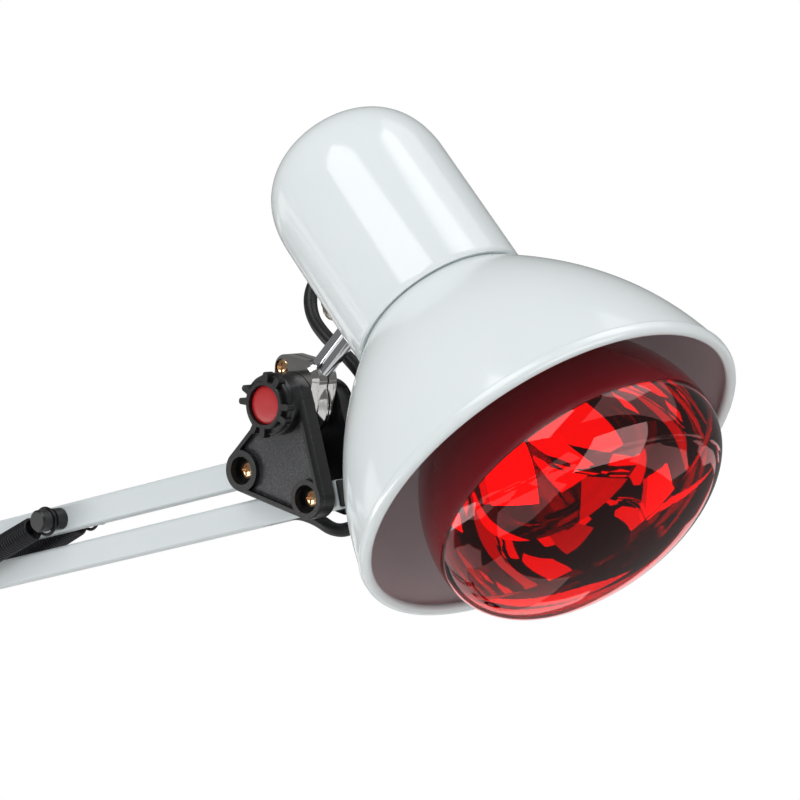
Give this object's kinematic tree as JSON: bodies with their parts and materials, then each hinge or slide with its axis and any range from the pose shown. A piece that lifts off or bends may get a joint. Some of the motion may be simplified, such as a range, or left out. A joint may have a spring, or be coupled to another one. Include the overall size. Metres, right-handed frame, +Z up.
{
  "type": "infrared heat therapy lamp",
  "caption": "Infrared heat lamp: white bell shade with ruby reflector bulb on a spring-balanced double arm with a table clamp.",
  "frame": {"origin": "centre of the clamp's upper jaw face on the table top, on the turret's axis", "axes": "+X towards the head, +Y to the back of the arms, +Z up along the turret's axis"},
  "size_m": [0.5641, 0.3597, 0.7375],
  "materials": {
    "enamel": "gloss",
    "enamel_inside": "matte",
    "arm_paint": "satin",
    "ruby_glass": "gloss",
    "reflector_glass": "satin",
    "lamp_cap": "satin",
    "ceramic": "satin",
    "tungsten": "satin",
    "chrome": "polished",
    "die_cast": "polished",
    "brass_plate": "polished",
    "black_moulding": "textured",
    "red_cap": "matte",
    "black_spring": "satin",
    "steel": "satin",
    "cast_paint": "satin",
    "bush_plastic": "matte",
    "pad_rubber": "matte",
    "flex_sheath": "matte",
    "switch_plastic": "matte",
    "plug_rubber": "matte",
    "pin_metal": "polished"
  },
  "bodies": {
    "clamp": {"clamp_frame": "cast_paint", "socket_bush": "bush_plastic", "clamp_top_pad": "pad_rubber", "cord_clip": "black_moulding", "base_flex_lower": "flex_sheath", "mains_lead": "flex_sheath", "lead_coil": "flex_sheath", "switch_housing": "switch_plastic", "plug_body": "plug_rubber", "plug_pins": "pin_metal"},
    "turret": {"turret_yoke": "black_moulding", "turret_screws": "brass_plate", "turret_pegs": "black_moulding", "spigot": "steel", "base_flex_upper": "flex_sheath", "lower_arm_springs": "black_spring"},
    "lower_front_arm": {"lower_front_bar": "arm_paint", "lower_arm_pegs": "black_moulding", "lower_arm_flex": "flex_sheath"},
    "lower_rear_arm": {"lower_rear_bar": "arm_paint"},
    "elbow": {"elbow_front": "black_moulding", "elbow_rear": "black_moulding", "elbow_screws": "brass_plate", "elbow_pegs": "black_moulding", "elbow_flex_lower": "flex_sheath", "forearm_springs": "black_spring"},
    "forearm_lower": {"forearm_lower_bar": "arm_paint", "forearm_flex": "flex_sheath", "elbow_flex_upper": "flex_sheath"},
    "forearm_upper": {"forearm_upper_bar": "arm_paint", "forearm_pegs": "black_moulding"},
    "head_bracket": {"bracket_front": "black_moulding", "bracket_rear": "black_moulding", "bracket_screws": "brass_plate", "tilt_bolt": "steel", "bracket_flex": "flex_sheath"},
    "tilt_knob": {"knob": "black_moulding", "knob_cap": "red_cap"},
    "jaw": {"jaw_front": "die_cast", "jaw_rear": "die_cast", "jaw_screw": "brass_plate", "knuckle_flex": "flex_sheath"},
    "head": {"shade": "enamel", "neck_cap": "enamel", "lampholder": "ceramic", "bulb_cap": "lamp_cap", "bulb_reflector": "reflector_glass", "bulb_lens": "ruby_glass", "bulb_filament": "tungsten", "cord_gland": "black_moulding", "neck_screw": "brass_plate", "stem_rod": "chrome", "stem_nut": "steel", "neck_flex": "flex_sheath"},
    "foot": {"clamp_foot": "steel", "clamp_foot_pad": "pad_rubber"},
    "screw": {"clamp_screw": "steel", "tommy_bar": "steel"},
    "rocker": {"switch_rocker": "switch_plastic"}
  },
  "joints": [
    {"name": "turret_turn", "type": "hinge", "parent": "clamp", "child": "turret", "pos_m": [0, 0, 0.038], "axis": [0, 0, 1], "range_deg": [-135, 135], "deforming": ["base_flex_lower"]},
    {"name": "lower_arm_swing", "type": "hinge", "parent": "turret", "child": "lower_front_arm", "pos_m": [0.011, 0, 0.062], "axis": [0, -1, 0], "range_deg": [-50, 18], "deforming": ["lower_arm_springs", "base_flex_upper"]},
    {"name": "lower_rear_swing", "type": "hinge", "parent": "turret", "child": "lower_rear_arm", "pos_m": [-0.011, 0, 0.062], "axis": [0, -1, 0], "range_deg": [-50, 18]},
    {"name": "elbow_level", "type": "hinge", "parent": "lower_front_arm", "child": "elbow", "pos_m": [-0.14862, 0, 0.3622], "axis": [0, -1, 0], "range_deg": [-18, 50], "deforming": ["elbow_flex_lower"]},
    {"name": "forearm_swing", "type": "hinge", "parent": "elbow", "child": "forearm_lower", "pos_m": [-0.14002, 0, 0.3925], "axis": [0, -1, 0], "range_deg": [-8, 45], "deforming": ["elbow_flex_upper", "forearm_springs"]},
    {"name": "forearm_upper_swing", "type": "hinge", "parent": "elbow", "child": "forearm_upper", "pos_m": [-0.17682, 0, 0.4021], "axis": [0, -1, 0], "range_deg": [-8, 45], "deforming": ["forearm_springs"]},
    {"name": "bracket_level", "type": "hinge", "parent": "forearm_lower", "child": "head_bracket", "pos_m": [0.19002, 0, 0.47418], "axis": [0, -1, 0], "range_deg": [-45, 8], "deforming": ["bracket_flex"]},
    {"name": "knob_turn", "type": "hinge", "parent": "head_bracket", "child": "tilt_knob", "pos_m": [0.17342, 0, 0.51318], "axis": [0, -1, 0], "range_deg": [-180, 180]},
    {"name": "head_tilt", "type": "hinge", "parent": "head_bracket", "child": "jaw", "pos_m": [0.17342, 0, 0.51318], "axis": [0, -1, 0], "range_deg": [-45, 75], "deforming": ["knuckle_flex"]},
    {"name": "head_swivel", "type": "hinge", "parent": "jaw", "child": "head", "pos_m": [0.16978, 0, 0.51307], "axis": [0.6995, 0, 0.7146], "range_deg": [-90, 90], "deforming": ["neck_flex"]},
    {"name": "foot_travel", "type": "slide", "parent": "clamp", "child": "foot", "axis": [0, 0, 1], "range_m": [-0.018, 0.015]},
    {"name": "screw_turn", "type": "hinge", "parent": "foot", "child": "screw", "pos_m": [0.004, 0, -0.06], "axis": [0, 0, 1], "range_deg": [-4320, 3600]},
    {"name": "rocker_tip", "type": "hinge", "parent": "clamp", "child": "rocker", "pos_m": [0.04796, 0.1276, 0.0134], "axis": [-0.9871, 0.16, 0], "range_deg": [-7, 7]}
  ],
  "couplings": [
    {"joint": "lower_rear_swing", "follows": "lower_arm_swing", "ratio": 1},
    {"joint": "elbow_level", "follows": "lower_arm_swing", "ratio": -1},
    {"joint": "forearm_upper_swing", "follows": "forearm_swing", "ratio": 1},
    {"joint": "bracket_level", "follows": "forearm_swing", "ratio": -1},
    {"joint": "screw_turn", "follows": "foot_travel", "rad_per_m": 4188.8}
  ]
}
